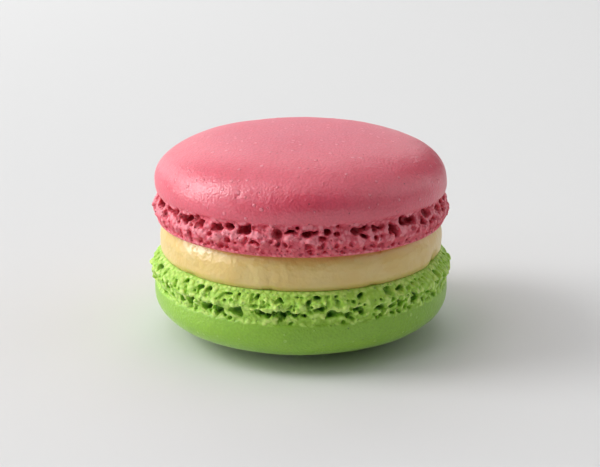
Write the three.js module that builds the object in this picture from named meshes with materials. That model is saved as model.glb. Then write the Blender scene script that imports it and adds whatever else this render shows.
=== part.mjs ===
// A French macaron: two almond meringue shells, each a smooth crown on a ruffled foot, joined foot to
// foot by a disc of buttercream. The lower shell lies upside down, so the macaron rests on its crown.
// Millimetres, +Z up. The origin is the middle of the flat spot that the macaron rests on.
import * as THREE from "three";

// Driving dimensions. Heights in a shell are measured from its underside, towards its crown.
const UPPER_SHELL = {
  name: "shell_top",
  height: 12.0, // underside to crown
  skinRadius: 19.94, // the smooth skin at its widest
  skinHeight: 5.1, // how high that widest ring is
  crownPower: 2.4, // 2 is an ellipse, and more is flatter on top with a tighter shoulder
  flatRadius: 0, // flat spot that the shell rests on
  edgeRadius: 19.73, // where the skin ends and the foot starts
  footHeight: 4.1, // how high that edge is
  rimRadius: 20.5, // the foot at its widest
  rimHeight: 2.0, // how high that rim is
  tuckPower: 0.9, // how late the foot tucks in from its rim to the skin's edge
  baseRadius: 19.6, // the flat underside
  hollowHeight: 3.1, // the middle of the row of large hollows next to the skin
  seed: 17,
};
const LOWER_SHELL = {
  name: "shell_bottom",
  height: 11.2,
  skinRadius: 20.43,
  skinHeight: 5.5,
  crownPower: 2.45,
  flatRadius: 8,
  edgeRadius: 20.33,
  footHeight: 4.1,
  rimRadius: 21.0,
  rimHeight: 2.0,
  tuckPower: 0.9,
  baseRadius: 19.05,
  hollowHeight: 3.0,
  seed: 71,
};
const FILLING = {
  thickness: 4.6,
  bottomRadius: 19.0,
  topRadius: 18.9,
  bulge: 0.42, // how far the squeezed cream stands out between the shells
  wave: 0.12, // how uneven its wall is
};

// The hollows that the rising batter tears in a foot, in two rows
const HOLLOWS = {
  pitch: [2.2, 3.6], // from one hollow to the next round the foot, least and most
  halfWidth: [0.9, 1.45],
  halfHeight: [0.55, 0.8],
  depth: [0.8, 1.3],
  stagger: 0.25, // how far a hollow sits above or below its row
};
const PITS = {
  pitch: [2.0, 3.4],
  halfWidth: [0.65, 1.0],
  halfHeight: [0.45, 0.6],
  depth: [0.4, 0.7],
  stagger: 0.2,
  below: 1.5, // from the row of hollows down to the row of pits
};
const RUFFLES = {
  depth: 0.34, // from the crests of the foot down to the dips between its hollows
  waves: [31, 19], // round the foot, in two slanting sets that cross
  slants: [1.9, -1.4], // turn of each set for a millimetre of height, in radians
};
const CLEAN_EDGE = 0.4; // height over which the relief fades out at the skin's edge and at the underside

const FOOT_SEGMENTS = 240; // round the foot
const SKIN_SEGMENTS = 72; // round the smooth skin, the underside and the cream
const FOOT_ROWS = 9;
const CROWN_ROWS = 9;
const CREAM_ROWS = 6;

const TURN = 2 * Math.PI;

// A repeatable run of numbers from 0 to 1.
function seededDraw(seed) {
  const MODULUS = 2147483647;
  const MULTIPLIER = 16807;
  let state = seed * MULTIPLIER;
  return () => {
    state = (state * MULTIPLIER) % MODULUS;
    return state / MODULUS;
  };
}

const between = ([least, most], share) => least + (most - least) * share;

// One row of hollows all the way round a foot.
function hollowRow(row, height, radius, draw) {
  const hollows = [];
  let along = 0;
  while (along < TURN * radius - row.pitch[0]) {
    const width = draw();
    hollows.push({
      angle: along / radius,
      height: height + (2 * draw() - 1) * row.stagger,
      halfWidth: between(row.halfWidth, width),
      halfHeight: between(row.halfHeight, draw()),
      depth: between(row.depth, width),
    });
    along += between(row.pitch, draw());
  }
  return hollows;
}

// How deep the foot's surface lies inside its smooth form.
function footRelief(angle, height, shell, hollows) {
  let sunk = 0;
  for (const hollow of hollows) {
    const turn = THREE.MathUtils.euclideanModulo(angle - hollow.angle + Math.PI, TURN) - Math.PI;
    const across = (turn * shell.rimRadius) / hollow.halfWidth;
    const up = (height - hollow.height) / hollow.halfHeight;
    sunk = Math.max(sunk, hollow.depth * (1 - across * across - up * up));
  }
  const waves = RUFFLES.waves.map((count, set) =>
    Math.sin(count * angle + RUFFLES.slants[set] * height + shell.seed),
  );
  const dip = (RUFFLES.depth * (1 - waves[0] * waves[1])) / 2;
  const fade =
    THREE.MathUtils.smoothstep(height, 0, CLEAN_EDGE) *
    (1 - THREE.MathUtils.smoothstep(height, shell.footHeight - CLEAN_EDGE, shell.footHeight));
  return fade * Math.max(dip, sunk);
}

// The smooth radius of a foot at a height: out from the underside to the rim, then in to the skin.
function footRadius(height, shell) {
  if (height < shell.rimHeight) {
    const short = 1 - height / shell.rimHeight;
    return shell.rimRadius - (shell.rimRadius - shell.baseRadius) * short ** 2;
  }
  const past = (height - shell.rimHeight) / (shell.footHeight - shell.rimHeight);
  return shell.rimRadius - (shell.rimRadius - shell.edgeRadius) * past ** shell.tuckPower;
}

// The skin's outline as [radius, height] pairs, from the foot's edge to the crown or its flat spot.
function skinOutline(shell) {
  const outline = [];
  const tuck = shell.skinRadius - shell.edgeRadius;
  const middle = (shell.footHeight + shell.skinHeight) / 2;
  outline.push([shell.skinRadius - tuck / 4, middle]);
  const power = shell.crownPower;
  const cut = (1 - (shell.flatRadius / shell.skinRadius) ** power) ** (1 / power);
  const rise = (shell.height - shell.skinHeight) / cut;
  for (let row = 0; row < CROWN_ROWS; row++) {
    const slant = (row / CROWN_ROWS) * (Math.PI / 2);
    const radius = shell.skinRadius * Math.cos(slant) ** (2 / power);
    if (radius <= shell.flatRadius) break;
    outline.push([radius, shell.skinHeight + rise * Math.sin(slant) ** (2 / power)]);
  }
  if (shell.flatRadius > 0) outline.push([shell.flatRadius, shell.height]);
  return outline;
}

// A ring of points. place(angle) gives [radius, height].
function ring(segments, place) {
  return Array.from({ length: segments }, (_, step) => {
    const angle = (step / segments) * TURN;
    const [radius, height] = place(angle);
    return [radius * Math.cos(angle), radius * Math.sin(angle), height];
  });
}

// A closed skin over rings stacked upwards, shut by a fan of faces round the axis at each end.
function solidOfRings(rings, bottom, top) {
  const points = [];
  const faces = [];
  const starts = rings.map((each) => {
    points.push(...each);
    return points.length - each.length;
  });
  const last = rings.length - 1;
  for (let level = 0; level < last; level++) {
    const below = rings[level].length;
    const above = rings[level + 1].length;
    for (let i = 0, j = 0; i < below || j < above; ) {
      const low = starts[level] + (i % below);
      const high = starts[level + 1] + (j % above);
      if ((i + 1) * above <= (j + 1) * below) {
        i += 1;
        faces.push(low, starts[level] + (i % below), high);
      } else {
        j += 1;
        faces.push(low, starts[level + 1] + (j % above), high);
      }
    }
  }
  const fan = (level, height, turned) => {
    const centre = points.push([0, 0, height]) - 1;
    const count = rings[level].length;
    for (let i = 0; i < count; i++) {
      const edge = [starts[level] + i, starts[level] + ((i + 1) % count)];
      faces.push(centre, ...(turned ? edge.reverse() : edge));
    }
  };
  fan(0, bottom, true);
  fan(last, top, false);
  const geometry = new THREE.BufferGeometry();
  geometry.setAttribute("position", new THREE.Float32BufferAttribute(points.flat(), 3));
  geometry.setIndex(faces);
  geometry.computeVertexNormals();
  return geometry;
}

// A shell with its underside at height 0 and its crown up.
function shellGeometry(shell) {
  const draw = seededDraw(shell.seed);
  const hollows = [
    ...hollowRow(HOLLOWS, shell.hollowHeight, shell.rimRadius, draw),
    ...hollowRow(PITS, shell.hollowHeight - PITS.below, shell.rimRadius, draw),
  ];
  const rings = [];
  for (let row = 0; row <= FOOT_ROWS; row++) {
    const height = (row / FOOT_ROWS) * shell.footHeight;
    const smooth = footRadius(height, shell);
    const radiusAt = (angle) => smooth - footRelief(angle, height, shell, hollows);
    rings.push(ring(FOOT_SEGMENTS, (angle) => [radiusAt(angle), height]));
  }
  for (const place of skinOutline(shell)) rings.push(ring(SKIN_SEGMENTS, () => place));
  return solidOfRings(rings, 0, shell.height);
}

// The buttercream disc, with its lower face at height 0 and its wall squeezed out a little.
function fillingGeometry(cream) {
  const rings = [];
  for (let row = 0; row <= CREAM_ROWS; row++) {
    const share = row / CREAM_ROWS;
    const swell = Math.sin(Math.PI * share);
    const smooth = cream.bottomRadius + (cream.topRadius - cream.bottomRadius) * share;
    const radiusAt = (angle) => {
      const waves = Math.sin(3 * angle + 1) + 0.7 * Math.sin(7 * angle) + 0.4 * Math.sin(13 * angle);
      return smooth + swell * (cream.bulge + (cream.wave * waves) / 2);
    };
    rings.push(ring(SKIN_SEGMENTS, (angle) => [radiusAt(angle), share * cream.thickness]));
  }
  return solidOfRings(rings, 0, cream.thickness);
}

const macaron = new THREE.Group();

const rose = new THREE.MeshStandardMaterial({ color: 0xe07888, roughness: 0.5, metalness: 0 });
const pistachio = new THREE.MeshStandardMaterial({ color: 0x9cc85c, roughness: 0.6, metalness: 0 });
const vanilla = new THREE.MeshStandardMaterial({ color: 0xe8d49c, roughness: 0.4, metalness: 0 });

const lowerShell = new THREE.Mesh(shellGeometry(LOWER_SHELL), pistachio);
lowerShell.name = LOWER_SHELL.name;
lowerShell.rotation.x = Math.PI;
lowerShell.position.z = LOWER_SHELL.height;
macaron.add(lowerShell);

const filling = new THREE.Mesh(fillingGeometry(FILLING), vanilla);
filling.name = "filling";
filling.position.z = LOWER_SHELL.height;
macaron.add(filling);

const upperShell = new THREE.Mesh(shellGeometry(UPPER_SHELL), rose);
upperShell.name = UPPER_SHELL.name;
upperShell.position.z = LOWER_SHELL.height + FILLING.thickness;
macaron.add(upperShell);

export default macaron;
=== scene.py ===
import math
import random

import bpy
import numpy as np
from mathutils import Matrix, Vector


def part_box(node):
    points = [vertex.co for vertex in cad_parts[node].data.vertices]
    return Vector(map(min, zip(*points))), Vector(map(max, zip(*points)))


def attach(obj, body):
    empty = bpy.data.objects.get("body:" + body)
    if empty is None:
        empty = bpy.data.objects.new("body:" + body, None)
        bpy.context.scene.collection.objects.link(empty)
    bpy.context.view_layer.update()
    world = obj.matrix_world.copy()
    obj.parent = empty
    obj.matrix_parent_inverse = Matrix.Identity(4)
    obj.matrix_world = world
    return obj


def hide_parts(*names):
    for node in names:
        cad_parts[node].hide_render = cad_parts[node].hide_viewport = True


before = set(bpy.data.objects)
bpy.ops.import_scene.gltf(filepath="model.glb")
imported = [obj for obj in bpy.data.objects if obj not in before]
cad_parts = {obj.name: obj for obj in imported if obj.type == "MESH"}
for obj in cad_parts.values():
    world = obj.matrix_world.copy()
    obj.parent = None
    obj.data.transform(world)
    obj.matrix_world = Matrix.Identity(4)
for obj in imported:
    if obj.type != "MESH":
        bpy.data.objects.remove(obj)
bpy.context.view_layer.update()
mm = 0.001
fullTurn = 2 * math.pi
print("frame loaded:", ", ".join(sorted(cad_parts)))


# Turns are in degrees from the front, positive to the right as the front is seen. Rises are from
# the table.
def bearing(turn, rise):
    turn, rise = math.radians(turn), math.radians(rise)
    return Vector((math.sin(turn) * math.cos(rise), -math.cos(turn) * math.cos(rise), math.sin(rise)))


def lookAt(thing, target):
    thing.rotation_euler = (Vector(target) - thing.location).to_track_quat("-Z", "Y").to_euler()


# ---- the camera
cameraSetup = {
    "distance": 0.1671,
    "rise": 17.23,
    "target": (-0.00013, 0.0, 0.01285),
    "lens": 72.0,
    "sensor": 36.0,
    "clipStart": 0.01,
}


def placeCamera(setup):
    camera = bpy.data.objects.new("camera", bpy.data.cameras.new("camera"))
    bpy.context.scene.collection.objects.link(camera)
    camera.data.lens = setup["lens"]
    camera.data.sensor_width = setup["sensor"]
    camera.data.clip_start = setup["clipStart"]
    target = Vector(setup["target"])
    camera.location = target + setup["distance"] * bearing(0, setup["rise"])
    lookAt(camera, target)
    bpy.context.scene.camera = camera


placeCamera(cameraSetup)
print("camera placed")


# Soft unevenness with lumps about half a wavelength across and a spread of about one: a sum of
# waves that run all ways, each a little longer or shorter than the wavelength.
def ripple(points, wavelength, seed, waves=16):
    draw = np.random.RandomState(seed)
    total = np.zeros(points.shape[:-1])
    for _ in range(waves):
        heading = draw.normal(size=3)
        heading *= fullTurn / wavelength * draw.uniform(0.7, 1.3) / np.linalg.norm(heading)
        total += np.cos(points @ heading + draw.uniform(0, fullTurn))
    return total / math.sqrt(waves / 2)


def smoothStep(value, low, high):
    share = np.clip((value - low) / (high - low), 0, 1)
    return share * share * (3 - 2 * share)


# The lower of two fields, with the crease between them rounded off.
def softMin(first, second, rounding):
    share = np.clip(0.5 + 0.5 * (second - first) / rounding, 0, 1)
    return second + (first - second) * share - rounding * share * (1 - share)


# ---- the mesh of a shell: a net over the crags of the foot, and rings over the skin
meshSetup = {
    "footStep": 0.145,  # millimetres between the points of the foot's net
    "layersOut": 5,  # of the net, outside the foot's smooth form
    "layersIn": 16,
    "skinBand": 0.45,  # millimetres of skin that the net still covers
    "soften": (0.7, 0.15),  # shares of a point and of each neighbour when the net is smoothed
    "sliver": 0.05,  # least thickness left where the net would touch itself, in steps
    "mendRounds": 12,
    "fewestPoints": 6,  # in a ring of the skin
}


# Settles each square of four neighbours whose signs lie crosswise, so that no edge of the net
# has four faces.
def unpinched(field, sliver):
    for _ in range(meshSetup["mendRounds"]):
        pinched = 0
        for one, two in ((0, 1), (1, 2), (0, 2)):
            sides = [field, np.roll(field, -1, one), np.roll(field, -1, two)]
            sides.append(np.roll(sides[1], -1, two))
            solid = [side > 0 for side in sides]
            cross = (solid[0] == solid[3]) & (solid[1] == solid[2]) & (solid[0] != solid[1])
            for axis in {one, two} - {0}:
                np.moveaxis(cross, axis, 0)[-1] = False
            pinched += cross.sum()
            fill = cross & ~solid[0]
            field[fill] = sliver
            fill = np.roll(cross & solid[0], 1, one)
            field[fill] = sliver
        if not pinched:
            break
    return field


# A sheet of quads where a field passes through zero. The first axis of the field runs round and
# meets itself.
def netOver(field):
    wrapped = np.concatenate([field, field[:1]])
    cells = tuple(size - 1 for size in wrapped.shape)
    total = np.zeros(cells + (3,))
    count = np.zeros(cells)
    crossings = []
    for axis in range(3):
        pair = [np.take(wrapped, np.arange(cells[axis]) + shift, axis) for shift in (0, 1)]
        crossed = (pair[0] > 0) != (pair[1] > 0)
        share = np.divide(pair[0], pair[0] - pair[1], out=np.zeros_like(pair[0]), where=crossed)
        crossings.append((crossed, pair[0] > 0))
        others = [other for other in range(3) if other != axis]
        for a in (0, 1):
            for b in (0, 1):
                window = [slice(0, size) for size in cells]
                window[others[0]] = slice(a, a + cells[others[0]])
                window[others[1]] = slice(b, b + cells[others[1]])
                met = crossed[tuple(window)]
                count += met
                total[..., axis] += share[tuple(window)]
                total[..., others[0]] += met * a
                total[..., others[1]] += met * b
    active = count > 0
    number = np.full(cells, -1)
    number[active] = np.arange(active.sum())
    places = np.argwhere(active) + total[active] / count[active][:, None]
    quads = []
    for axis, (crossed, firstInside) in enumerate(crossings):
        one, two = (axis + 1) % 3, (axis + 2) % 3
        edges = np.argwhere(crossed)
        if axis:
            edges = edges[edges[:, 0] < cells[0]]
        for other in {one, two} - {0}:
            edges = edges[(edges[:, other] > 0) & (edges[:, other] < cells[other])]
        corners = []
        for back in ((1, 1), (0, 1), (0, 0), (1, 0)):
            cell = edges.copy()
            cell[:, one] -= back[0]
            cell[:, two] -= back[1]
            cell[:, 0] %= cells[0]
            corners.append(number[tuple(cell.T)])
        quad = np.stack(corners, 1)
        turned = firstInside[tuple(edges.T)]
        quad[turned] = quad[turned][:, ::-1]
        quads.append(quad)
    return places, np.concatenate(quads), number


# Which points hang together with most of the others.
def largestPiece(count, quads):
    label = np.arange(count)
    while True:
        lower = label.copy()
        np.minimum.at(lower, quads, label[quads].min(1)[:, None])
        lower = lower[lower]
        if (lower == label).all():
            break
        label = lower
    return label == np.bincount(label[quads[:, 0]]).argmax()


# Faces between two closed rows of points that start at the same turn and may differ in number.
def zipRows(low, high):
    faces = []
    i = j = 0
    while i < len(low) or j < len(high):
        here, there = low[i % len(low)], high[j % len(high)]
        if (i + 1) * len(high) <= (j + 1) * len(low):
            i += 1
            faces.append((here, low[i % len(low)], there))
        else:
            j += 1
            faces.append((here, high[j % len(high)], there))
    return faces


# ---- the form of a shell, in millimetres, with heights from its flat underside towards its crown
def footRadius(height, form):
    low = np.clip(1 - height / form["rimHeight"], 0, 1)
    past = np.clip((height - form["rimHeight"]) / (form["footHeight"] - form["rimHeight"]), 0, 1)
    rise = np.clip((height - form["footHeight"]) / (form["skinHeight"] - form["footHeight"]), 0, 1)
    radius = form["rimRadius"] - (form["rimRadius"] - form["baseRadius"]) * low**2
    radius = radius - (form["rimRadius"] - form["edgeRadius"]) * past ** form["tuckPower"]
    return radius + (form["skinRadius"] - form["edgeRadius"]) * rise * (2 - rise)


# Evenly spaced steps along the skin, from the net to the crown: radius, height, the slant of its
# face, and the way still to go.
def skinOutline(form, start, step):
    samples = 2000
    power = form["crownPower"]
    cut = (1 - (form["flatRadius"] / form["skinRadius"]) ** power) ** (1 / power)
    rise = (form["height"] - form["skinHeight"]) / cut
    bandHeight = np.linspace(start, form["skinHeight"], samples // 10)[:-1]
    slant = np.linspace(0, math.pi / 2, samples)
    radius = form["skinRadius"] * np.cos(slant).clip(0) ** (2 / power)
    height = form["skinHeight"] + rise * np.sin(slant) ** (2 / power)
    crown = radius > form["flatRadius"]
    flat = np.linspace(form["flatRadius"], 0, samples // 10) if form["flatRadius"] else np.zeros(1)
    radius = np.concatenate([footRadius(bandHeight, form), radius[crown], flat])
    height = np.concatenate([bandHeight, height[crown], np.full(len(flat), form["height"])])
    along = np.concatenate([[0], np.cumsum(np.hypot(np.diff(radius), np.diff(height)))])
    stops = np.linspace(0, along[-1], round(along[-1] / step) + 1)
    radius, height = np.interp(stops, along, radius), np.interp(stops, along, height)
    slant = np.arctan2(np.gradient(height), -np.gradient(radius))
    return radius, height, slant, along[-1] - stops


def cartesian(turn, radius, height):
    return np.stack(np.broadcast_arrays(radius * np.sin(turn), -radius * np.cos(turn), height), -1)


# The hollows that the rising batter tears, as (turn in radians, height, width, tall).
def hollowPlaces(form, draw):
    places = [(math.radians(turn), *rest) for turn, *rest in form["seenHollows"]]
    for row in form["rows"]:
        turn = form["seenHalf"]
        while turn < 360 - form["seenHalf"]:
            height = row["height"] + draw.uniform(-1, 1) * row["stagger"]
            width, tall = draw.uniform(*row["width"]), draw.uniform(*row["tall"])
            places.append((math.radians(turn), height, width, tall))
            turn += draw.uniform(*row["pitch"])
    return places


# How both feet are torn, in millimetres and degrees. A mark is a hollow, pore, lump or crumb.
tearSetup = {
    "reach": 1.6,  # how far round its middle a mark works, in half sizes
    "deepest": 0.6,  # the deepest surface that a mark is measured from
    "swayWaves": (1.5, 0.7, 1.3),  # wavelengths that bend marks: sideways, finer sideways, upwards
    "fineSway": 0.45,
    "lumpSway": 0.3,  # share of the bending that a lump gets; a hollow gets all of it
    "lumpTilt": 25,
    "lumpBlur": 1,  # net points round a place, over which the surface under a lump is averaged
    "strayAlong": (-0.6, 0.6),  # how far a lump strays from its place in its row, in pitches
    "strayUp": (-0.1, 1.1),
    "hollowTilt": 20,
    "hollowBlur": 3,
    "hollowSunk": 0.3,  # how deep the middle of a hollow lies
    "hollowRounding": 0.08,
    "depthByWidth": (0.55, 0.3),  # scale of its depth: this, and this more for each mm of width
    # the two smaller hollows that break it up, as shares of it
    "breakSunk": 0.25,
    "breakSize": (0.45, 0.6),
    "breakWidth": 0.5,
    "breakTall": 0.7,
    "breakAbove": (-0.25, 0.3),
    "breakTilt": -2,
    "poreTall": (0.7, 1),  # as a share of its width
    "poreRounding": 0.03,
    "creaseHeight": 0.3,  # over which the filling of the crease under the skin fades
    "roughFrom": (0, 0.9),  # heights over which the unevenness of the crumb comes in
    "roughTo": (-0.25, 0.15),  # heights over the skin's edge where it ends, and all relief
    "reliefTo": (0.1, 0.35),
}


# Presses an egg-shaped mark into a field of depths, or raises it where carved is False.
def press(field, grid, mark, carved, rounding):
    turn, height, sunk, halfWidth, halfHeight, halfDepth, tilt = mark
    step = grid["step"]
    reach = tearSetup["reach"] * max(halfWidth, halfHeight)
    middle = round(turn / grid["turnStep"])
    spread = math.ceil(reach / step)
    columns = np.arange(middle - spread, middle + spread + 1)
    lowest = max(0, int((height - reach) / step))
    highest = min(field.shape[1], int((height + reach) / step) + 2)
    levels = np.arange(lowest, highest)
    if not len(levels):
        return
    part = np.ix_(columns % field.shape[0], levels)
    level = min(max(round(height / step), 0), field.shape[1] - 1)
    surface = min(grid["surface"][middle % field.shape[0], level], grid["deepest"])
    sway = 1.0 if carved else tearSetup["lumpSway"]
    across = (columns * grid["turnStep"] - turn)[:, None, None] * grid["radius"]
    across = across + sway * grid["sway"][part]
    up = (levels * step - height)[None, :, None] + sway * grid["lift"][part]
    along = math.cos(tilt) * across + math.sin(tilt) * up
    over = math.cos(tilt) * up - math.sin(tilt) * across
    inward = (grid["depths"] - surface - sunk)[None, None, :]
    away = np.sqrt((along / halfWidth) ** 2 + (over / halfHeight) ** 2 + (inward / halfDepth) ** 2)
    skin = (away - 1) * min(halfWidth, halfHeight, halfDepth)
    if carved:
        field[part] = softMin(field[part], skin, rounding)
    else:
        field[part] = -softMin(-field[part], skin, rounding)


# How deep the surface of a field lies.
def surfaceOf(field, depths):
    solid = field > 0
    return np.where(solid.any(2), depths[solid.argmax(2)], depths[-1])


# Bubbles of crumb all over a stretch of the foot, in rows that are shaken up.
def heapLumps(field, grid, kind, radius, draw):
    low, high = kind["heights"]
    pitch = kind["pitch"]
    around = round(fullTurn * radius / pitch)
    for row in range(math.ceil((high - low) / pitch)):
        for column in range(around):
            turn = (column + draw.uniform(*tearSetup["strayAlong"])) * fullTurn / around
            height = low + (row + draw.uniform(*tearSetup["strayUp"])) * pitch
            half = draw.uniform(*kind["size"]) / 2
            sunk = half - draw.uniform(*kind["stands"])
            if height < high and draw.random() < kind["share"]:
                tilt = math.radians(draw.uniform(-tearSetup["lumpTilt"], tearSetup["lumpTilt"]))
                mark = (turn, height, sunk, half, half * kind["tall"], half, tilt)
                press(field, grid, mark, False, kind["rounding"])


# One hollow, broken up by two smaller ones.
def tearHollow(field, grid, form, place, draw):
    turn, height, width, tall = place
    tilt = math.radians(draw.uniform(-tearSetup["hollowTilt"], tearSetup["hollowTilt"]))
    least, more = tearSetup["depthByWidth"]
    deep = draw.uniform(*form["hollowDepth"]) * (least + more * width)
    size = (form["hollowShare"] * width, form["hollowShare"] * tall, deep)
    mark = (turn, height, tearSetup["hollowSunk"], *size, tilt)
    press(field, grid, mark, True, tearSetup["hollowRounding"])
    breakTilt = tearSetup["breakTilt"] * tilt
    for side in (-1, 1):
        share = draw.uniform(*tearSetup["breakSize"])
        aside = side * draw.uniform(*form["spread"]) * width / form["rimRadius"]
        above = draw.uniform(*tearSetup["breakAbove"]) * tall
        halfWidth = share * width * tearSetup["breakWidth"]
        halfHeight = share * tall * tearSetup["breakTall"]
        size = (halfWidth, halfHeight, share * deep)
        mark = (turn + aside, height + above, tearSetup["breakSunk"], *size, breakTilt)
        press(field, grid, mark, True, tearSetup["hollowRounding"])


# Lumps first, then the hollows, then crumbs in them, and pores last.
def carveFoot(field, grid, form, draw):
    for kind in form["lumps"]:
        grid["surface"] = blurred(surfaceOf(field, grid["depths"]), tearSetup["lumpBlur"])
        heapLumps(field, grid, kind, form["rimRadius"], draw)
    grid["surface"] = blurred(surfaceOf(field, grid["depths"]), tearSetup["hollowBlur"])
    for place in hollowPlaces(form, draw):
        tearHollow(field, grid, form, place, draw)
    for kind in form["crumbs"]:
        grid["surface"] = surfaceOf(field, grid["depths"])
        grid["deepest"] = kind["deepest"]
        heapLumps(field, grid, kind, form["rimRadius"], draw)
    grid["surface"] = surfaceOf(field, grid["depths"])
    for kind in form["pores"]:
        for _ in range(kind["count"]):
            half = draw.uniform(*kind["size"]) / 2
            place = (draw.uniform(0, fullTurn), draw.uniform(*kind["heights"]), 0)
            size = (half, half * draw.uniform(*tearSetup["poreTall"]), draw.uniform(*kind["deep"]))
            press(field, grid, (*place, *size, 0), True, tearSetup["poreRounding"])


# The average over a square of the foot's map, which meets itself round the first axis.
def blurred(chart, reach):
    chart = sum(np.roll(chart, shift, 0) for shift in range(-reach, reach + 1))
    padded = np.pad(chart, ((0, 0), (reach, reach)), "edge")
    chart = sum(padded[:, shift : shift + chart.shape[1]] for shift in range(2 * reach + 1))
    return chart / (2 * reach + 1) ** 2


# Rounds off what is finer than the net.
def softened(field):
    own, beside = meshSetup["soften"]
    for axis in range(3):
        reach = [(0, 0)] * 3
        reach[axis] = (1, 1)
        padded = np.pad(field, reach, "wrap" if axis == 0 else "edge")
        count = field.shape[axis]
        before, after = (np.take(padded, np.arange(count) + shift, axis) for shift in (0, 2))
        field = own * field + beside * (before + after)
    return field


# 1 between two heights, eased in over the first pair, and out over the second, which counts from
# the edge.
def easedBand(heights, comingIn, edge, goingOut):
    low, high = goingOut
    band = smoothStep(heights, *comingIn) * (1 - smoothStep(heights, edge + low, edge + high))
    return band[None, :, None]


# The foot as a net over its crags: points in millimetres, the height, depth and standing of each,
# quads, and the rows at its two ends.
def sculptFoot(form, draw):
    step = meshSetup["footStep"]
    layersOut = meshSetup["layersOut"]
    columns = round(fullTurn * form["rimRadius"] / step)
    levels = math.ceil((form["footHeight"] + meshSetup["skinBand"]) / step) + 1
    turns = np.arange(columns) * fullTurn / columns
    heights = np.arange(levels) * step
    depths = (np.arange(layersOut + meshSetup["layersIn"]) - layersOut + 0.5) * step
    radii = footRadius(heights, form)[:, None] - depths[None, :]
    places = cartesian(turns[:, None, None], radii[None], heights[None, :, None])
    aside, finer, upward = (
        ripple(places, wavelength, form["seed"] + number)
        for number, wavelength in enumerate(tearSetup["swayWaves"])
    )
    grid = {
        "step": step,
        "turnStep": fullTurn / columns,
        "radius": form["rimRadius"],
        "depths": depths,
        "deepest": tearSetup["deepest"],
        "sway": form["sway"] * (aside + tearSetup["fineSway"] * finer),
        "lift": form["sway"] * upward,
    }
    rough = -form["inset"]
    for tall, wavelength in form["crumb"]:
        rough = rough + tall * ripple(places, wavelength, form["seed"] + 3)
    edge = form["footHeight"]
    field = depths + rough * easedBand(heights, tearSetup["roughFrom"], edge, tearSetup["roughTo"])
    crease = np.exp(-(((heights - edge) / tearSetup["creaseHeight"]) ** 2))
    field += form["creaseFill"] * crease[None, :, None]
    carveFoot(field, grid, form, draw)
    whole = easedBand(heights, (step, 3 * step), edge, tearSetup["reliefTo"])
    field = depths + (field - depths) * whole
    sliver = meshSetup["sliver"] * step
    field[..., :1] = np.minimum(field[..., :1], -sliver)
    field[..., -1:] = np.maximum(field[..., -1:], sliver)
    field = unpinched(softened(field), sliver)
    places, quads, number = netOver(field)
    kept = largestPiece(len(places), quads)
    fresh = np.cumsum(kept) - 1
    rows = [fresh[number[:, level, layersOut - 1]] for level in (0, -1)]
    quads = fresh[quads[kept[quads].all(1)]]
    places = places[kept]
    turn = places[:, 0] * fullTurn / columns
    height = places[:, 1] * step
    depth = np.interp(places[:, 2], np.arange(len(depths)), depths)
    outermost = surfaceOf(field, depths)
    standing = blurred(outermost, form["crestReach"]) - blurred(outermost, 1)
    cell = np.minimum(places.astype(int), np.array(field.shape) - 1)
    return {
        "points": cartesian(turn, footRadius(height, form) - depth, height),
        "height": height,
        "depth": depth,
        "standing": standing[cell[:, 0] % columns, cell[:, 1]],
        "quads": quads,
        "rows": rows,
        "start": heights[-1],
        "turns": turns + fullTurn / columns / 2,
    }


# What the skins of both shells share, in millimetres.
skinSetup = {
    "edgeFade": 1.5,  # way from the foot over which the relief of the skin comes in
    "flatFade": 2,  # and from the flat spot
    "strayReach": (0.1, 1),  # shares of the crown's area, from its middle out, where stray bumps lie
    "straySize": (0.25, 0.6),
    "strayTall": 0.12,  # as a share of its size
    "edgeWander": (0.09, 1.1),  # height and wavelength by which the colour's edge strays
    "edgeBlend": (-0.05, 0.15),  # heights over the skin's edge where the foot's colour ends
    "crownTint": (6, 18),  # distances from the axis over which the middle of the crown ends: its painted sheen and its duller roughness
}


# The bumps and dimples of the skin, as (turn, distance from the axis, radius, height): the ones
# that face the front, and stray ones behind.
def skinMarks(form):
    draw = random.Random(form["seed"] + 5)
    marks = list(form["skinMarks"])
    for _ in range(form["strayMarks"]):
        reach = form["skinRadius"] * math.sqrt(draw.uniform(*skinSetup["strayReach"]))
        size = draw.uniform(*skinSetup["straySize"])
        turn = draw.uniform(form["seenHalf"], 360 - form["seenHalf"])
        marks.append((turn, reach, size, skinSetup["strayTall"] * size))
    return marks


# How far the skin stands out from its smooth form.
def skinRelief(form, turn, radius, height, marks):
    places = cartesian(turn, radius, height)
    relief = np.zeros(len(turn))
    for tall, wavelength in form["unevenness"]:
        relief += tall * ripple(places, wavelength, form["seed"] + 11)
    for where, reach, size, tall in marks:
        across = np.angle(np.exp(1j * (turn - math.radians(where)))) * radius
        away = (across**2 + (radius - reach) ** 2) / size**2
        relief += np.where(height > form["skinHeight"], tall * np.exp(-2 * away), 0)
    return relief


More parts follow.
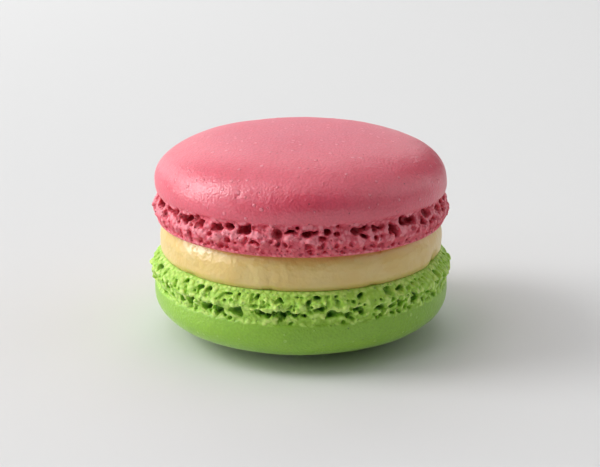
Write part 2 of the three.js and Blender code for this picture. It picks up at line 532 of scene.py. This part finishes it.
def shellMesh(form):
    low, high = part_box(form["node"])
    form = {**form, "height": (high.z - low.z) / mm}
    foot = sculptFoot(form, random.Random(form["seed"]))
    marks = skinMarks(form)
    radius, height, slant, reach = skinOutline(form, foot["start"], form["skinStep"])
    columns = len(foot["turns"])
    underside = cartesian(foot["turns"], np.full(columns, form["baseRadius"]), 0.0)
    points = [foot["points"], underside, [[0, 0, 0]]]
    centre = len(foot["points"]) + columns
    row = np.arange(len(foot["points"]), centre)
    faces = [tuple(quad) for quad in foot["quads"]]
    faces += zipRows(row, foot["rows"][0])
    faces += [(centre, after, point) for point, after in zip(row, np.roll(row, -1))]
    row, start = foot["rows"][1], centre + 1
    for step in range(len(radius) - 1):
        size = round(fullTurn * radius[step] / form["skinStep"]) if step else columns
        size = max(size, meshSetup["fewestPoints"])
        around = foot["turns"][0] + np.arange(size) * fullTurn / size
        out, up = np.full(size, radius[step]), np.full(size, height[step])
        if step:
            fade = smoothStep(reach[0] - reach[step], 0, skinSetup["edgeFade"])
            if form["flatRadius"]:
                fadeEnd = form["flatRadius"] + skinSetup["flatFade"]
                fade *= smoothStep(radius[step], form["flatRadius"], fadeEnd)
            lift = fade * skinRelief(form, around, out, up, marks)
            out = out + lift * math.sin(slant[step])
            up = up + lift * math.cos(slant[step])
        points.append(cartesian(around, out, up))
        fresh = np.arange(start, start + size)
        faces += zipRows(row, fresh)
        row, start = fresh, start + size
    points.append([[0, 0, form["height"]]])
    faces += [(point, after, start) for point, after in zip(row, np.roll(row, -1))]
    points = np.concatenate(points) * mm
    points[:, 2] = low.z + points[:, 2] if form["crownUp"] else high.z - points[:, 2]
    bare = np.zeros(len(points) - len(foot["points"]))
    return {
        "points": points,
        "faces": faces,
        "foot": np.concatenate([footShare(foot, form), bare]),
        "sunk": np.concatenate([foot["depth"], bare]),
        "crest": np.concatenate([foot["standing"], bare]),
        "flat": 1 - smoothStep(np.hypot(points[:, 0], points[:, 1]) / mm, *skinSetup["crownTint"]),
    }


# How much of the look at a point of the net is foot rather than skin.
def footShare(foot, form):
    tall, wavelength = skinSetup["edgeWander"]
    height = foot["height"] + tall * ripple(foot["points"], wavelength, form["seed"] + 7)
    return 1 - smoothStep(height, *(form["footHeight"] + past for past in skinSetup["edgeBlend"]))


def buildPiece(name, made, finish):
    mesh = bpy.data.meshes.new(name)
    mesh.from_pydata(made["points"].tolist(), [], made["faces"])
    mesh.update()
    # the volume under the faces is negative where they are turned inwards
    volume = np.array([face.normal.z * face.area * face.center.z for face in mesh.polygons])
    if volume.sum() < 0:
        mesh.flip_normals()
    # what the finishes read at each point; flat is the middle of the crown
    for key in ("foot", "sunk", "crest", "flat", "contactShade"):
        if key in made:
            layer = mesh.attributes.new(key, "FLOAT", "POINT")
            layer.data.foreach_set("value", made[key].astype(np.float32))
    mesh.shade_smooth()
    mesh.materials.append(finish)
    piece = bpy.data.objects.new(name, mesh)
    bpy.context.scene.collection.objects.link(piece)
    return piece


# ---- finishes: a socket wrapped so that sums on it add Math nodes, and one method for every other node
class Wire:
    def __init__(self, finish, socket):
        self.finish = finish
        self.socket = socket

    def reckon(self, operation, first, second):
        return self.finish.add("ShaderNodeMath", {"operation": operation}, {0: first, 1: second})

    def __add__(self, other):
        return self.reckon("ADD", self, other)

    def __sub__(self, other):
        return self.reckon("SUBTRACT", self, other)

    def __rsub__(self, other):
        return self.reckon("SUBTRACT", other, self)

    def __mul__(self, other):
        return self.reckon("MULTIPLY", self, other)

    __radd__ = __add__
    __rmul__ = __mul__


class Finish:
    def __init__(self, name):
        self.material = bpy.data.materials.new(name)
        self.material.use_nodes = True
        self.tree = self.material.node_tree
        self.shader = self.tree.nodes["Principled BSDF"]
        self.place = self.add("ShaderNodeTexCoord", out="Object")

    def add(self, kind, settings=None, sockets=None, out=0):
        node = self.tree.nodes.new(kind)
        for key, value in (settings or {}).items():
            setattr(node, key, value)
        for key, value in (sockets or {}).items():
            self.join(value, node.inputs[key])
        return Wire(self, node.outputs[out])

    def join(self, value, socket):
        if isinstance(value, Wire):
            self.tree.links.new(value.socket, socket)
        else:
            socket.default_value = value

    def wear(self, **sockets):
        for key, value in sockets.items():
            self.join(value, self.shader.inputs[key.replace("_", " ")])

    def noise(self, size, detail):
        sockets = {"Vector": self.place, "Scale": 1 / (size * mm), "Detail": detail, "Roughness": 0.5}
        return self.add("ShaderNodeTexNoise", None, sockets)

    def attribute(self, name):
        return self.add("ShaderNodeAttribute", {"attribute_name": name}, out="Fac")

    # 0 below low, 1 above high, and eased between them
    def ease(self, value, low, high):
        settings = {"interpolation_type": "SMOOTHSTEP"}
        sockets = {"Value": value, "From Min": low, "From Max": high}
        return self.add("ShaderNodeMapRange", settings, sockets)

    def tint(self, share, first, second):
        settings = {"data_type": "RGBA", "clamp_factor": True}
        return self.add("ShaderNodeMix", settings, {0: share, 6: first, 7: second}, 2)

    # a heap of round-topped pearls, from about 0 in the creases to 1 on top
    def pearls(self, size):
        settings = {"feature": "SMOOTH_F1"}
        sockets = {"Vector": self.place, "Scale": 1 / (size * mm), "Smoothness": 0.15}
        away = self.add("ShaderNodeTexVoronoi", settings, sockets, "Distance")
        return 1 - away * away * 2.0

    # tiny round spots: about one in every cell, of random sizes, with the smallest too small to show
    def spots(self, spacing, radius, hidden, soft=0.35):
        cell = {"Vector": self.place, "Scale": 1 / (spacing * mm)}
        away = self.add("ShaderNodeTexVoronoi", None, cell, "Distance")
        lot = self.add("ShaderNodeTexVoronoi", None, cell, "Color")
        chance = self.add("ShaderNodeSeparateColor", None, {0: lot}, 0)
        edge = self.ease(chance, hidden, 1.0) * (radius / spacing)
        return self.ease(edge - away, 0.0, soft * radius / spacing)

    def bump(self, height):
        return self.add("ShaderNodeBump", None, {"Height": height, "Distance": mm, "Strength": 1.0})


def rgb(red, green, blue):
    return (red, green, blue, 1.0)


roseLook = {
    "name": "roseMeringue",
    "skin": rgb(0.83, 0.100, 0.165),
    "skinDeep": rgb(0.79, 0.085, 0.143),
    "crown": rgb(0.73, 0.124, 0.187),  # painted sheen: the paler middle of the crown
    # painted shade in the skin's pits, and the colour of its random flecks
    "pitShadeAndFleck": rgb(0.40, 0.02, 0.05),
    "foot": rgb(0.80, 0.074, 0.130),
    # the crumb's paler colour on crests, partly a painted highlight; also the beads' painted highlight
    "crest": rgb(0.94, 0.285, 0.345),
    # painted shade, for the hollows, the creases between the pearls and the pores
    "hollow": rgb(0.44, 0.010, 0.035),
    "gloss": 1.0,  # strength of the highlights; density is the index of refraction
    "density": 1.53,
    "bloom": 0.05,  # of the dusty sheen
    "skinRoughness": 0.30,
    "footRoughness": 0.55,
    "grain": 0.085,  # height of the skin's fine grain and of the coarser pebbling, in millimetres
    "pebble": 0.025,
    "beadHighlightShare": 0.6,  # how much painted highlight, in the crests' colour, the beads have, and how high they are
    "bead": 0.09,
    "glow": (1.0, 0.30, 0.25),
    "glowWeight": 0.3,
    "glowDepth": 0.8 * mm,
    "crestShare": 0.8,  # how much of their own colour crests have (the crumb's paler colour, partly a painted highlight), and how much painted shade creases and pores have
    "creaseShadeShare": 0.22,
    "poreShadeShare": 0.75,
    "pearlSize": 0.58,  # of the foot's crumb, across and high, in millimetres
    "pearl": 0.09,
}
pistachioLook = {
    "name": "pistachioMeringue",
    "skin": rgb(0.30, 0.57, 0.018),
    "skinDeep": rgb(0.27, 0.54, 0.012),
    "crown": rgb(0.30, 0.57, 0.018),
    # painted shade in the skin's pits, and the colour of its random flecks
    "pitShadeAndFleck": rgb(0.10, 0.25, 0.02),
    "foot": rgb(0.40, 0.69, 0.050),
    # the crumb's paler colour on crests, partly a painted highlight; also the beads' painted highlight
    "crest": rgb(0.67, 0.89, 0.215),
    # painted shade, for the hollows, the creases between the pearls and the pores
    "hollow": rgb(0.08, 0.27, 0.012),
    "gloss": 0.8,
    "density": 1.5,
    "bloom": 0.25,
    "skinRoughness": 0.40,
    "footRoughness": 0.60,
    "grain": 0.085,
    "pebble": 0.03,
    "beadHighlightShare": 0.35,
    "bead": 0.05,
    "glow": (0.6, 1.0, 0.2),
    "glowWeight": 0.3,
    "glowDepth": 0.8 * mm,
    "crestShare": 0.78,
    "creaseShadeShare": 0.14,
    "poreShadeShare": 0.3,
    "pearlSize": 0.64,
    "pearl": 0.10,
}
# What the finishes of both shells share, in millimetres. A noise is (size, detail), and spots are
# (spacing, radius, share too small to show).
meringueTexture = {
    "sunkFrom": (0.45, 1.6),  # depths in the foot over which the painted shade of the hollows comes in
    "crestFrom": (-0.06, 0.30),  # how far a place stands out, for the crests' colour: the crumb's paler colour, partly a painted highlight
    "pearlMiddle": 0.6,
    "pearlCrest": 0.32,  # what a pearl adds to it from crease to top, a painted highlight on its top
    "mottle": ((5.0, 4.0, 0.6), (1.4, 3.0, 0.4)),  # two noises and the share of each
    "mottleFrom": (0.36, 0.64),
    "crownShare": 0.55,  # of the crown's painted sheen in its middle, and what lighter patches add to it
    "crownMottle": 0.4,
    "pits": (1.0, 0.13, 0.55),
    "pitShadeShare": 0.8,
    "pitDepth": 0.08,
    "beads": (0.95, 0.3, 0.45),
    "flecks": (0.28, 1.0),
    "fleckFrom": (0.3, 0.7),
    "fleckShare": 0.18,
    "pores": (0.55, 0.2, 0.25),
    "poreDepth": 0.1,
    "grain": (0.32, 1.0),
    "grainLost": 0.75,  # share of the grain that the foot hasn't
    "pebbles": (0.9, 1.0),
    "dullness": (1.1, 3.0),
    "dullnessSpread": 0.1,
    "crownDullness": 0.24,
    "bloomRoughness": 0.4,
}


def meringueFinish(look):
    finish = Finish(look["name"])
    texture = meringueTexture
    foot = finish.attribute("foot")
    flat = finish.attribute("flat")
    sunk = finish.ease(finish.attribute("sunk"), *texture["sunkFrom"])
    pearls = finish.pearls(look["pearlSize"])
    standing = finish.attribute("crest") + (pearls - texture["pearlMiddle"]) * texture["pearlCrest"]
    crest = finish.ease(standing, *texture["crestFrom"])
    large, small = (finish.noise(size, detail) * share for size, detail, share in texture["mottle"])
    mottle = finish.ease(large + small, *texture["mottleFrom"])
    pits = finish.spots(*texture["pits"]) * (1 - foot)
    beads = finish.spots(*texture["beads"])
    flecks = finish.ease(finish.noise(*texture["flecks"]), *texture["fleckFrom"])
    pores = finish.spots(*texture["pores"]) * foot
    # painted sheen: the middle of the crown is paler
    crownSheen = flat * (texture["crownShare"] + mottle * texture["crownMottle"])
    skin = finish.tint(mottle, look["skinDeep"], look["skin"])
    skin = finish.tint(crownSheen, skin, look["crown"])
    # painted shade in the pits; the flecks below are random tone
    skin = finish.tint(pits * texture["pitShadeShare"], skin, look["pitShadeAndFleck"])
    # painted highlight: the raised beads are lightened, as specks that catch the light
    skin = finish.tint(beads * look["beadHighlightShare"], skin, look["crest"])
    skin = finish.tint(flecks * texture["fleckShare"], skin, look["pitShadeAndFleck"])
    # crests and pearl tops: the crumb's paler colour, partly a painted highlight on what stands out
    crumb = finish.tint(crest * look["crestShare"], look["foot"], look["crest"])
    # painted shade: the creases between the pearls, and the hollows by their depth
    crumb = finish.tint((1 - pearls) * look["creaseShadeShare"], crumb, look["hollow"])
    crumb = finish.tint(sunk, crumb, look["hollow"])
    colour = finish.tint(foot, skin, crumb)
    # painted shade in the pores
    colour = finish.tint(pores * look["poreShadeShare"], colour, look["hollow"])
    rough = look["skinRoughness"] + finish.noise(*texture["dullness"]) * texture["dullnessSpread"]
    rough = rough + flat * texture["crownDullness"]
    rough = rough + foot * (look["footRoughness"] - look["skinRoughness"])
    height = finish.noise(*texture["grain"]) * look["grain"] * (1 - foot * texture["grainLost"])
    height = height + finish.noise(*texture["pebbles"]) * look["pebble"] + beads * look["bead"]
    height = height - pits * texture["pitDepth"] - pores * texture["poreDepth"]
    height = height + pearls * foot * look["pearl"]
    finish.wear(
        Base_Color=colour,
        Roughness=rough,
        Normal=finish.bump(height),
        Specular_IOR_Level=look["gloss"],
        IOR=look["density"],
        Sheen_Weight=look["bloom"],
        Sheen_Roughness=texture["bloomRoughness"],
        Subsurface_Weight=look["glowWeight"],
        Subsurface_Radius=look["glow"],
        Subsurface_Scale=look["glowDepth"],
    )
    return finish.material


creamLook = {
    "name": "vanillaButtercream",
    "body": rgb(0.81, 0.60, 0.215),
    "deep": rgb(0.79, 0.555, 0.165),
    # painted shade, where the cream meets the shells
    "contactShadeColour": rgb(0.62, 0.43, 0.085),
    "gloss": 1.0,
    "density": 1.52,
    "roughness": 0.26,
    "glow": (1.0, 0.7, 0.3),
    "glowDepth": 2.0 * mm,
    "glowWeight": 0.35,
    "contactShade": 0.7,  # of the painted shade next to the shells
    "swirls": (4.0, 3.0),  # size in millimetres and detail of the patches of colour
    "swirlsFrom": (0.35, 0.7),
    "dullness": (0.9, 2.0),
    "dullnessSpread": 0.14,
    # size, detail and height of the unevenness
    "smears": ((1.6, 2.0, 0.1), (0.75, 1.0, 0.09), (0.35, 1.0, 0.035)),
}


def creamFinish(look):
    finish = Finish(look["name"])
    swirls = finish.ease(finish.noise(*look["swirls"]), *look["swirlsFrom"])
    body = finish.tint(swirls, look["deep"], look["body"])
    rough = look["roughness"] + finish.noise(*look["dullness"]) * look["dullnessSpread"]
    broad, middling, fine = (finish.noise(size, detail) * tall for size, detail, tall in look["smears"])
    height = broad + middling + fine
    finish.wear(
        # painted shade next to the shells
        Base_Color=finish.tint(finish.attribute("contactShade") * look["contactShade"], body, look["contactShadeColour"]),
        Roughness=rough,
        Normal=finish.bump(height),
        Specular_IOR_Level=look["gloss"],
        IOR=look["density"],
        Subsurface_Weight=look["glowWeight"],
        Subsurface_Radius=look["glow"],
        Subsurface_Scale=look["glowDepth"],
    )
    return finish.material


# ---- the rose shell on top
upperShell = {
    "node": "shell_top",
    "slot": "rose_meringue",
    "crownUp": True,
    "skinStep": 0.31,  # millimetres between the points of the skin
    "skinRadius": 19.94,
    "skinHeight": 5.1,
    "crownPower": 2.4,
    "flatRadius": 0,
    "edgeRadius": 19.73,
    "footHeight": 4.1,
    "rimRadius": 20.5,
    "rimHeight": 2.0,
    "tuckPower": 0.9,
    "baseRadius": 19.6,
    "inset": 0.30,  # how far the crumb lies inside the foot's smooth form
    "sway": 0.08,  # how far lumps and hollows are bent out of shape
    "crumb": ((0.09, 2.1), (0.04, 1.0)),  # height and wavelength of the crumb's unevenness
    "creaseFill": 0.05,  # how far the crease under the skin is filled
    "crestReach": 7,  # net points round a place, against which it counts as a crest
    "hollowDepth": (0.9, 1.6),
    "hollowShare": 0.53,  # half the size of a torn hollow, as a share of the size given for it
    "spread": (0.2, 0.42),  # how far aside its two smaller ones lie, as a share of its width
    # the hollows that face the front, as (turn, height, width, tall); the rows fill in behind
    "seenHalf": 70,
    "seenHollows": (
        (-67.5, 3.30, 1.3, 0.95), (-62.5, 2.80, 1.0, 0.65), (-59.8, 3.40, 1.2, 0.8),
        (-54.8, 3.25, 1.1, 0.8), (-48.7, 3.00, 1.8, 1.05), (-44.4, 3.40, 1.5, 0.9),
        (-40.2, 3.00, 1.4, 1.05), (-31.7, 3.00, 1.85, 0.9), (-27, 3.35, 1.35, 0.75),
        (-20.6, 3.10, 1.8, 1.0), (-8.5, 2.95, 1.25, 1.15), (-3.7, 3.25, 1.5, 0.5),
        (2, 3.00, 1.5, 0.75), (5.5, 3.20, 0.75, 0.5), (9.5, 3.25, 1.0, 0.6),
        (13, 3.00, 0.75, 0.6), (20, 3.05, 1.3, 0.75), (23.5, 3.30, 1.35, 0.75),
        (27.5, 3.15, 0.85, 0.65), (30.5, 3.10, 1.15, 0.65), (35, 2.60, 1.6, 1.0),
        (41, 3.35, 1.65, 1.1), (45, 3.05, 1.6, 0.9), (51.5, 2.50, 0.9, 0.65),
        (55, 3.25, 1.8, 1.0), (64, 3.25, 1.8, 0.8), (-15.3, 1.90, 0.75, 0.65),
        (7.5, 2.50, 1.0, 0.75), (23, 2.35, 0.9, 0.5), (27.5, 2.00, 0.8, 0.5),
        (56.5, 2.10, 0.9, 0.5),
    ),
    "rows": (
        {"height": 3.4, "stagger": 0.25, "width": (0.8, 1.9), "tall": (0.6, 1.1),
         "pitch": (4.0, 8.0)},
        {"height": 2.3, "stagger": 0.3, "width": (0.6, 1.0), "tall": (0.45, 0.7),
         "pitch": (9.0, 20.0)},
    ),
    # tall is a share of the size, stands is how far one stands out, share is of the places that
    # have one
    "lumps": (
        {"pitch": 1.1, "size": (0.9, 1.3), "tall": 0.9, "heights": (1.3, 3.4),
         "stands": (0.15, 0.38), "share": 0.6, "rounding": 0.08},
        {"pitch": 0.66, "size": (0.5, 0.75), "tall": 1.0, "heights": (1.0, 3.6),
         "stands": (0.15, 0.28), "share": 0.75, "rounding": 0.03},
    ),
    "crumbs": (
        {"pitch": 0.9, "size": (0.45, 0.7), "tall": 1.0, "heights": (1.6, 3.8),
         "stands": (0.1, 0.3), "share": 0.35, "rounding": 0.04, "deepest": 1.4},
    ),
    "pores": (
        {"count": 330, "size": (0.4, 0.75), "heights": (0.4, 3.9), "deep": (0.35, 0.8)},
        {"count": 280, "size": (0.28, 0.44), "heights": (0.15, 1.1), "deep": (0.2, 0.4)},
    ),
    "unevenness": ((0.03, 13.0), (0.008, 3.0)),
    "strayMarks": 30,
    # bumps and dimples of the skin as (turn, distance from the axis, radius, height)
    "skinMarks": (
        (-1.9, 16.9, 0.5, 0.03), (9.3, 17.8, 0.55, 0.04), (1.1, 18.9, 0.5, 0.04),
        (25.4, 17.6, 0.5, 0.03), (27.1, 18.1, 0.5, 0.025), (51.5, 15.7, 0.65, 0.045),
        (44.9, 17.2, 0.6, 0.045), (40.7, 17.4, 0.6, 0.045), (1.9, 19.5, 0.45, 0.03),
        (-28.0, 17.7, 0.6, 0.035), (-4.7, 18.5, 0.5, 0.035), (-11.2, 19.4, 0.5, 0.035),
        (-14.7, 19.6, 0.5, 0.04), (-23.3, 19.3, 0.42, -0.10), (-22.0, 19.2, 0.45, 0.04),
    ),
    "seed": 17,
}
# ---- the pistachio shell underneath, lying on its crown
lowerShell = {
    "node": "shell_bottom",
    "slot": "pistachio_meringue",
    "crownUp": False,
    "skinStep": 0.42,
    "skinRadius": 20.43,
    "skinHeight": 5.5,
    "crownPower": 2.45,
    "flatRadius": 8,
    "edgeRadius": 20.33,
    "footHeight": 4.1,
    "rimRadius": 21.0,
    "rimHeight": 2.0,
    "tuckPower": 0.9,
    "baseRadius": 19.05,
    "inset": 0.30,
    "sway": 0.08,
    "crumb": ((0.09, 2.1), (0.04, 1.0)),
    "creaseFill": 0.05,
    "crestReach": 7,
    "hollowDepth": (0.8, 1.5),
    "hollowShare": 0.46,
    "spread": (0.12, 0.3),
    "seenHalf": 70,
    "seenHollows": (
        (-58.7, 2.45, 1.2, 1.1), (-56.2, 3.05, 0.9, 0.7), (-49.2, 2.95, 1.6, 0.95),
        (-44.2, 2.80, 1.5, 1.05), (-35.7, 2.90, 1.9, 1.05), (-30.6, 2.84, 1.55, 1.2),
        (-23.1, 2.73, 1.9, 1.3), (-14.3, 2.66, 1.25, 0.95), (-11.8, 2.94, 0.9, 0.8),
        (-9.4, 2.57, 1.05, 0.8), (-6.7, 2.80, 1.15, 1.0), (-4.5, 2.49, 0.9, 0.65),
        (-2.1, 2.87, 1.0, 0.5), (1.3, 2.90, 0.75, 0.5), (7, 2.00, 1.0, 0.8),
        (11.3, 2.60, 1.65, 1.05), (17, 2.95, 0.8, 0.9), (20.3, 2.35, 1.2, 0.65),
        (22, 3.00, 0.8, 0.65), (29.5, 2.55, 1.3, 0.9), (34.3, 2.75, 1.4, 0.95),
        (38.5, 2.70, 1.0, 1.05), (46, 2.50, 1.9, 1.2), (55, 2.60, 1.1, 0.55),
        (-68.2, 0.92, 1.04, 0.59), (-48.2, 0.72, 0.88, 0.34), (-39.7, 0.72, 1.16, 0.68),
        (-35.7, 0.77, 0.96, 0.68), (-27.4, 0.82, 1.0, 0.55), (-22.5, 0.67, 0.76, 0.42),
        (-15.7, 0.87, 0.72, 0.68), (-7.2, 0.92, 0.88, 0.68), (-1.3, 0.62, 0.6, 0.34),
        (2.4, 1.12, 0.68, 0.68), (6, 0.72, 1.4, 0.55), (12.4, 0.62, 0.52, 0.42),
        (13.1, 1.27, 0.52, 0.55), (22, 0.82, 1.2, 0.89), (33, 1.02, 0.72, 0.47),
        (29.5, 1.47, 0.48, 0.47), (38.6, 0.82, 1.16, 0.55), (45.8, 0.62, 0.72, 0.34),
        (52.5, 0.62, 0.68, 0.34), (62, 0.97, 1.44, 0.72),
    ),
    "rows": (
        {"height": 2.65, "stagger": 0.25, "width": (0.9, 1.9), "tall": (0.7, 1.2),
         "pitch": (4.0, 8.0)},
        {"height": 0.85, "stagger": 0.25, "width": (0.5, 1.2), "tall": (0.35, 0.7),
         "pitch": (4.5, 9.0)},
    ),
    "lumps": (
        {"pitch": 1.2, "size": (1.0, 1.5), "tall": 0.9, "heights": (0.9, 3.2),
         "stands": (0.15, 0.42), "share": 0.6, "rounding": 0.08},
        {"pitch": 0.72, "size": (0.55, 0.85), "tall": 1.0, "heights": (0.6, 3.5),
         "stands": (0.15, 0.3), "share": 0.8, "rounding": 0.03},
    ),
    "crumbs": (
        {"pitch": 0.9, "size": (0.45, 0.7), "tall": 1.0, "heights": (0.6, 3.6),
         "stands": (0.1, 0.3), "share": 0.35, "rounding": 0.04, "deepest": 1.4},
    ),
    "pores": (
        {"count": 520, "size": (0.4, 0.75), "heights": (0.5, 3.9), "deep": (0.35, 0.75)},
    ),
    "unevenness": ((0.03, 13.0), (0.008, 3.0)),
    "strayMarks": 10,
    "skinMarks": (),
    "seed": 71,
}


def makeShell(form, look):
    piece = buildPiece(form["node"] + "_baked", shellMesh(form), meringueFinish(look))
    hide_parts(form["node"])
    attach(piece, "root")
    print(piece.name, sum(len(face.vertices) - 2 for face in piece.data.polygons), "triangles")


makeShell(upperShell, roseLook)
makeShell(lowerShell, pistachioLook)

# ---- the buttercream, squeezed out a little between the shells
creamForm = {
    "bottomRadius": 19.0,
    "sag": 0.1,  # how far its lower edge runs down over the shell below
    "topRadius": 18.65,
    "widest": 19.41,
    "widestBand": (0.25, 0.5),  # where it is widest, as shares of its height
    "roundness": 2.2,  # how late the wall draws in towards its two edges
    "step": 0.15,
    "waves": ((0.10, 14.0), (0.035, 4.0), (0.012, 1.5)),
    # dents as (turn, share of the height, half width in degrees, half height as a share, depth)
    "dents": (
        (66, 0.08, 3.2, 0.22, 0.65), (73, 0.04, 2.0, 0.15, 0.3), (31.5, 0.97, 1.3, 0.07, 0.3),
        (-12.0, 0.02, 2.5, 0.08, 0.25), (28.0, 0.03, 2.0, 0.08, 0.25),
        (-48.0, 0.03, 3.0, 0.08, 0.25), (14.0, 0.62, 2.4, 0.10, 0.04),
        (20.0, 0.75, 1.6, 0.12, -0.05), (118, 0.1, 3.0, 0.2, 0.5), (164, 0.95, 2.2, 0.08, 0.35),
        (211, 0.05, 2.6, 0.16, 0.45), (255, 0.96, 1.8, 0.08, 0.3),
    ),
    "shadeAbove": 0.9,  # millimetres of painted shade below the upper shell, and above the lower one
    "shadeBelow": 0.8,
    "shadeBelowShare": 0.8,  # how dark the lower band of painted shade is beside the upper one
    "seed": 5,
}


def creamMesh(form):
    low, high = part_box("filling")
    tall = (high.z - low.z) / mm
    columns = round(fullTurn * form["topRadius"] / form["step"])
    rows = round(tall / form["step"])
    turns = np.arange(columns) * fullTurn / columns
    points, faces, row = [], [], None
    for step in range(rows + 1):
        share = step / rows
        under = max(0, 1 - share / form["widestBand"][0]) ** form["roundness"]
        past = (share - form["widestBand"][1]) / (1 - form["widestBand"][1])
        over = max(0, past) ** form["roundness"]
        swell = math.sqrt(math.sin(math.pi * share)) if 0 < step < rows else 0.0
        radius = form["widest"] - (form["widest"] - form["bottomRadius"]) * under
        radius = radius - (form["widest"] - form["topRadius"]) * over
        for where, middle, halfTurn, halfShare, depth in form["dents"]:
            across = np.degrees(np.angle(np.exp(1j * (turns - math.radians(where))))) / halfTurn
            up = (share - middle) / halfShare
            radius = radius - depth * np.exp(-(across**2) - up * up)
        place = cartesian(turns, np.full(columns, radius), share * tall)
        for tallness, wavelength in form["waves"]:
            radius = radius + swell * tallness * ripple(place, wavelength, form["seed"])
        drop = form["sag"] * max(0, 1 - share / form["widestBand"][0])
        points.append(cartesian(turns, np.broadcast_to(radius, columns), share * tall - drop))
        fresh = np.arange(step * columns, (step + 1) * columns)
        if row is not None:
            faces += zip(row, np.roll(row, -1), np.roll(fresh, -1), fresh)
        row = fresh
    count = (rows + 1) * columns
    points.append([[0, 0, 0], [0, 0, tall]])
    faces += [(count, (i + 1) % columns, i) for i in range(columns)]
    faces += [(count + 1, point, after) for point, after in zip(row, np.roll(row, -1))]
    points = np.concatenate(points)
    # painted shade in bands next to the upper and lower shells
    up = points[:, 2] + form["sag"]
    contactShade = 1 - smoothStep(tall - up, 0, form["shadeAbove"])
    contactShade += form["shadeBelowShare"] * (1 - smoothStep(up, 0, form["shadeBelow"]))
    points = points * mm
    points[:, 2] += low.z
    return {"points": points, "faces": faces, "contactShade": contactShade}


cream = buildPiece("filling_cream", creamMesh(creamForm), creamFinish(creamLook))
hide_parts("filling")
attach(cream, "root")
print(cream.name, len(cream.data.polygons), "faces")

# ---- the studio: a pale table, a window on the left that throws most of the light, and fainter
# light from behind, above and the right
studio = {
    "floorSize": 8.0,
    "floorColour": rgb(0.74, 0.74, 0.74),
    "floorRoughness": 0.9,
    "ambient": 0.02,
    "distance": 1.6,
    "aim": (0, 0, 0.01),
    "lights": (
        {"name": "window", "turn": -91, "rise": 36, "width": 0.75, "watts": 12.8},
        {"name": "windowFront", "turn": -45, "rise": 36, "width": 0.6, "watts": 1.9},
        {"name": "windowBehind", "turn": -125, "rise": 24, "width": 0.8, "watts": 4.2},
        {"name": "windowHigh", "turn": -85, "rise": 60, "width": 0.9, "watts": 4.9},
        {"name": "windowLow", "turn": -92, "rise": 9, "width": 0.4, "watts": 6.6},
        {"name": "windowLowFront", "turn": -62, "rise": 9, "width": 0.4, "watts": 2.0},
        {"name": "backLeft", "turn": -148, "rise": 10, "width": 0.8, "watts": 2.4},
        {"name": "backHigh", "turn": -160, "rise": 35, "width": 1.2, "watts": 1.4},
        {"name": "ceiling", "turn": 0, "rise": 89, "width": 1.2, "watts": 3.4},
        {"name": "backTop", "turn": 180, "rise": 62, "width": 1.2, "watts": 2.0},
        {"name": "backWall", "turn": 180, "rise": 28, "width": 1.2, "watts": 5.6},
        {"name": "rightWall", "turn": 120, "rise": 10, "width": 0.8, "watts": 1.9},
        {"name": "rightHigh", "turn": 95, "rise": 40, "width": 1.5, "watts": 5.4},
        {"name": "rightFront", "turn": 60, "rise": 22, "width": 1.0, "watts": 0.8},
    ),
}


def lightStudio(setup):
    scene = bpy.context.scene
    half = setup["floorSize"] / 2
    mesh = bpy.data.meshes.new("table")
    corners = [(-half, -half, 0), (half, -half, 0), (half, half, 0), (-half, half, 0)]
    mesh.from_pydata(corners, [], [(0, 1, 2, 3)])
    finish = Finish("paleTable")
    finish.wear(
        Base_Color=setup["floorColour"],
        Roughness=setup["floorRoughness"],
        Specular_IOR_Level=0.0,
    )
    mesh.materials.append(finish.material)
    table = bpy.data.objects.new("table", mesh)
    scene.collection.objects.link(table)
    for each in setup["lights"]:
        lamp = bpy.data.lights.new(each["name"], "AREA")
        lamp.shape = "SQUARE"
        lamp.size = each["width"]
        lamp.energy = each["watts"]
        light = bpy.data.objects.new(each["name"], lamp)
        scene.collection.objects.link(light)
        light.location = setup["distance"] * bearing(each["turn"], each["rise"])
        lookAt(light, setup["aim"])
    world = bpy.data.worlds.new("studio")
    world.use_nodes = True
    background = world.node_tree.nodes["Background"]
    background.inputs["Color"].default_value = rgb(1, 1, 1)
    background.inputs["Strength"].default_value = setup["ambient"]
    scene.world = world
    scene.view_settings.view_transform = "Standard"


lightStudio(studio)
print("studio lit")
